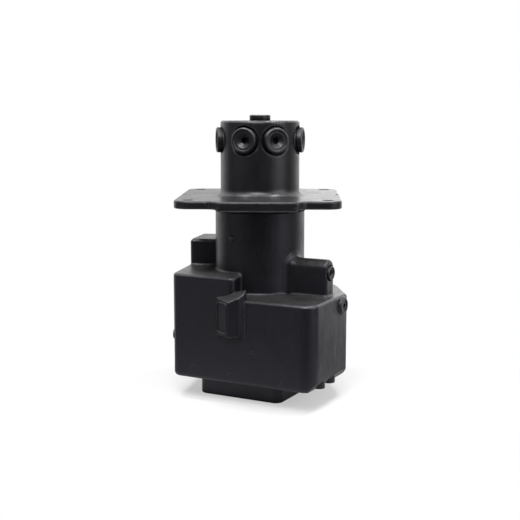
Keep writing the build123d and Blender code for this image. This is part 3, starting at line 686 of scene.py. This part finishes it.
def dished_plug(name, head, length, shank, shank_length, dish, depth, funnel, across, socket):
    """A plug whose outer face is at height 0: a flat rim, a shallow dish, and a funnel down to the socket."""
    chamfer = 0.08 * head
    slope = 0.6 * depth
    mouth = 0.62 * across
    corners = [
        (shank, -length - shank_length), (shank, -length), (head, -length), (head, -chamfer),
        (head - chamfer, 0), (dish, 0), (dish - slope, -depth), (funnel, -depth),
        (mouth, -depth - 0.8 * (funnel - mouth)),
    ]
    return turned_with_socket(name, rounded_outline(corners, 0.35 * mm), across, socket)


head_plug = dished_plug(
    "head_plug", head=12.25 * mm, length=5.2 * mm, shank=8.2 * mm, shank_length=11 * mm, dish=9.8 * mm,
    depth=1.1 * mm, funnel=7.2 * mm, across=6.2 * mm, socket=4 * mm,
)
head_nodes = ["head_plug_%d" % i for i in range(1, 8)]
head_plug_inset = 1.8 * mm
head_seats = []
for node in head_nodes:
    low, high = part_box(node)
    out = ((low + high) / 2).xy.normalized().to_3d()
    head_seats.append((face_centre(node, out) - out * head_plug_inset, out))
set_on_seats("head_plugs", head_plug, head_seats, plug_paint, "rotor", head_nodes)

up = Vector((0, 0, 1))
top_plug = dished_plug(
    "top_port_plug", head=10.25 * mm, length=5 * mm, shank=8.2 * mm, shank_length=9 * mm, dish=8.2 * mm,
    depth=0.7 * mm, funnel=6.0 * mm, across=6.2 * mm, socket=3 * mm,
)
top_seats = [(face_centre("top_plug", up), up)]
set_on_seats("top_plugs", top_plug, top_seats, plug_paint, "rotor", ["top_plug"])


def level(degrees_round):
    """The level direction this many degrees round from the right."""
    return Vector((cos(radians(degrees_round)), sin(radians(degrees_round)), 0))


wing_out, rear_out, neck_out = level(195.3), level(94.96), level(118)
port_facing = {
    "lug_plug": level(0), "boss_plug": wing_out, "rear_plug_1": rear_out, "rear_plug_2": rear_out,
    "rear_plug_3": rear_out, "drain_plug": rear_out, "neck_plug": neck_out,
}
port_plug = dished_plug(
    "port_plug", head=7.0 * mm, length=3 * mm, shank=4.8 * mm, shank_length=9 * mm, dish=5.5 * mm,
    depth=0.6 * mm, funnel=4.4 * mm, across=5 * mm, socket=3 * mm,
)
port_seats = [(face_centre(node, out), out) for node, out in port_facing.items()]
set_on_seats("port_plugs", port_plug, port_seats, plug_paint, "housing", list(port_facing))

wear_finish("side_plug", plug_paint)
wear_finish("bleed_screw", screw_finish)
bonded = ring_material(
    "bonded_washer", dark=(0.02, 0.02, 0.02, 1), light=(0.05, 0.05, 0.052, 1), scale=800, roughness=0.45,
    metallic=0.3,
)
for node in nodes:
    if node.endswith("_washer") and "thrust" not in node or node.startswith("head_plug_washer"):
        wear_finish(node, bonded)

# ---------------------------------------------------------------------------
# Studio: a pale floor that runs into a white ground, soft lamps overhead, to
# the right, behind and high in front, and a long lens above the flange.
# ---------------------------------------------------------------------------

behind_the_unit = (-0.47, 0.88, 0.0)


def studio_brightness():
    """How bright the white surroundings are: full to the camera and behind the unit, less before it."""
    group, given, result = new_group(
        "studio_brightness", [("Direction", "NodeSocketVector", None)], [("Brightness", "NodeSocketFloat")]
    )
    path = place(group, "ShaderNodeLightPath", {})
    towards = place(
        group, "ShaderNodeVectorMath", {0: given.outputs[0], 1: behind_the_unit}, operation="DOT_PRODUCT"
    )
    rearward = towards.outputs["Value"]
    front = ramp(group, rearward, -1.0, -0.5, 0.02, 0.33)
    sides = ramp(group, rearward, -0.4, 0.0, 0.0, -0.18)
    rear = ramp(group, rearward, 0.2, 0.65)
    reflected = combine(group, "ADD", combine(group, "ADD", front, sides), rear)
    unseen = mix(group, path.outputs["Is Glossy Ray"], 0.35, reflected)
    shown = combine(group, "MAXIMUM", path.outputs["Is Camera Ray"], path.outputs["Is Transmission Ray"])
    feed(group, result, {"Brightness": mix(group, shown, unseen, 1.0)})
    return group


studio_group = studio_brightness()


def pale_floor():
    """The floor's material: pale and shadowed near the unit, plain white further off."""
    material, tree, shader, where = new_material("pale_floor")
    feed(tree, shader, {"Base Color": (0.86, 0.86, 0.86, 1), "Roughness": 0.9})
    away = place(tree, "ShaderNodeVectorMath", {0: where}, operation="LENGTH")
    far = ramp(tree, away.outputs["Value"], 0.06, 0.30, low=0.45, kind="SMOOTHSTEP")
    path = place(tree, "ShaderNodeLightPath", {})
    seen = combine(tree, "MAXIMUM", path.outputs["Is Camera Ray"], path.outputs["Is Glossy Ray"])
    share = combine(tree, "MULTIPLY", far, seen)
    heading = place(tree, "ShaderNodeVectorMath", {0: where}, operation="NORMALIZE")
    brightness = place(tree, "ShaderNodeGroup", {0: heading.outputs[0]}, node_tree=studio_group)
    white = place(tree, "ShaderNodeEmission", {1: brightness.outputs[0]})
    mixed = place(tree, "ShaderNodeMixShader", {0: share, 1: shader.outputs[0], 2: white.outputs[0]})
    feed(tree, tree.nodes["Material Output"], {"Surface": mixed.outputs[0]})
    return material


bpy.ops.mesh.primitive_plane_add(size=8, location=(0, 0, 0))
floor = bpy.context.object
floor.name = "studio_floor"
floor.data.materials.append(pale_floor())

world = bpy.data.worlds.new("studio")
bpy.context.scene.world = world
world.use_nodes = True
sky = world.node_tree
direction = place(sky, "ShaderNodeTexCoord", {}).outputs["Generated"]
surroundings = place(sky, "ShaderNodeGroup", {0: direction}, node_tree=studio_group)
feed(sky, sky.nodes["Background"], {"Color": (1, 1, 1, 1), "Strength": surroundings.outputs[0]})


def soft_lamp(name, place_of, target, size, watts):
    """A square soft box that looks at a point."""
    data = bpy.data.lights.new(name, "AREA")
    data.shape = "SQUARE"
    data.size = size
    data.energy = watts
    lamp = bpy.data.objects.new(name, data)
    lamp.location = place_of
    lamp.rotation_euler = (Vector(target) - Vector(place_of)).to_track_quat("-Z", "Y").to_euler()
    lamp.visible_camera = False
    bpy.context.scene.collection.objects.link(lamp)


unit_middle = (0, 0, 0.13)
soft_lamp("left_overhead_box", (-0.42, -0.22, 1.55), unit_middle, 0.35, 9)
soft_lamp("right_overhead_box", (0.42, 0.22, 1.55), unit_middle, 0.35, 11)
soft_lamp("right_box", (1.5, -0.1, 0.7), unit_middle, 1.0, 9)
soft_lamp("rear_box", (-0.38, 1.55, 0.5), unit_middle, 0.7, 1.6)
soft_lamp("front_high_box", (0.30, -0.98, 1.36), unit_middle, 0.8, 20)

camera_data = bpy.data.cameras.new("long_lens")
camera_data.lens = 69
camera_data.sensor_width = 36
camera = bpy.data.objects.new("long_lens", camera_data)
camera.location = (0.462, -0.870, 0.277)
aimed_at = Vector((0, 0, 0.131))
camera.rotation_euler = (aimed_at - camera.location).to_track_quat("-Z", "Y").to_euler()
bpy.context.scene.collection.objects.link(camera)
bpy.context.scene.camera = camera
bpy.context.scene.view_settings.view_transform = "Standard"
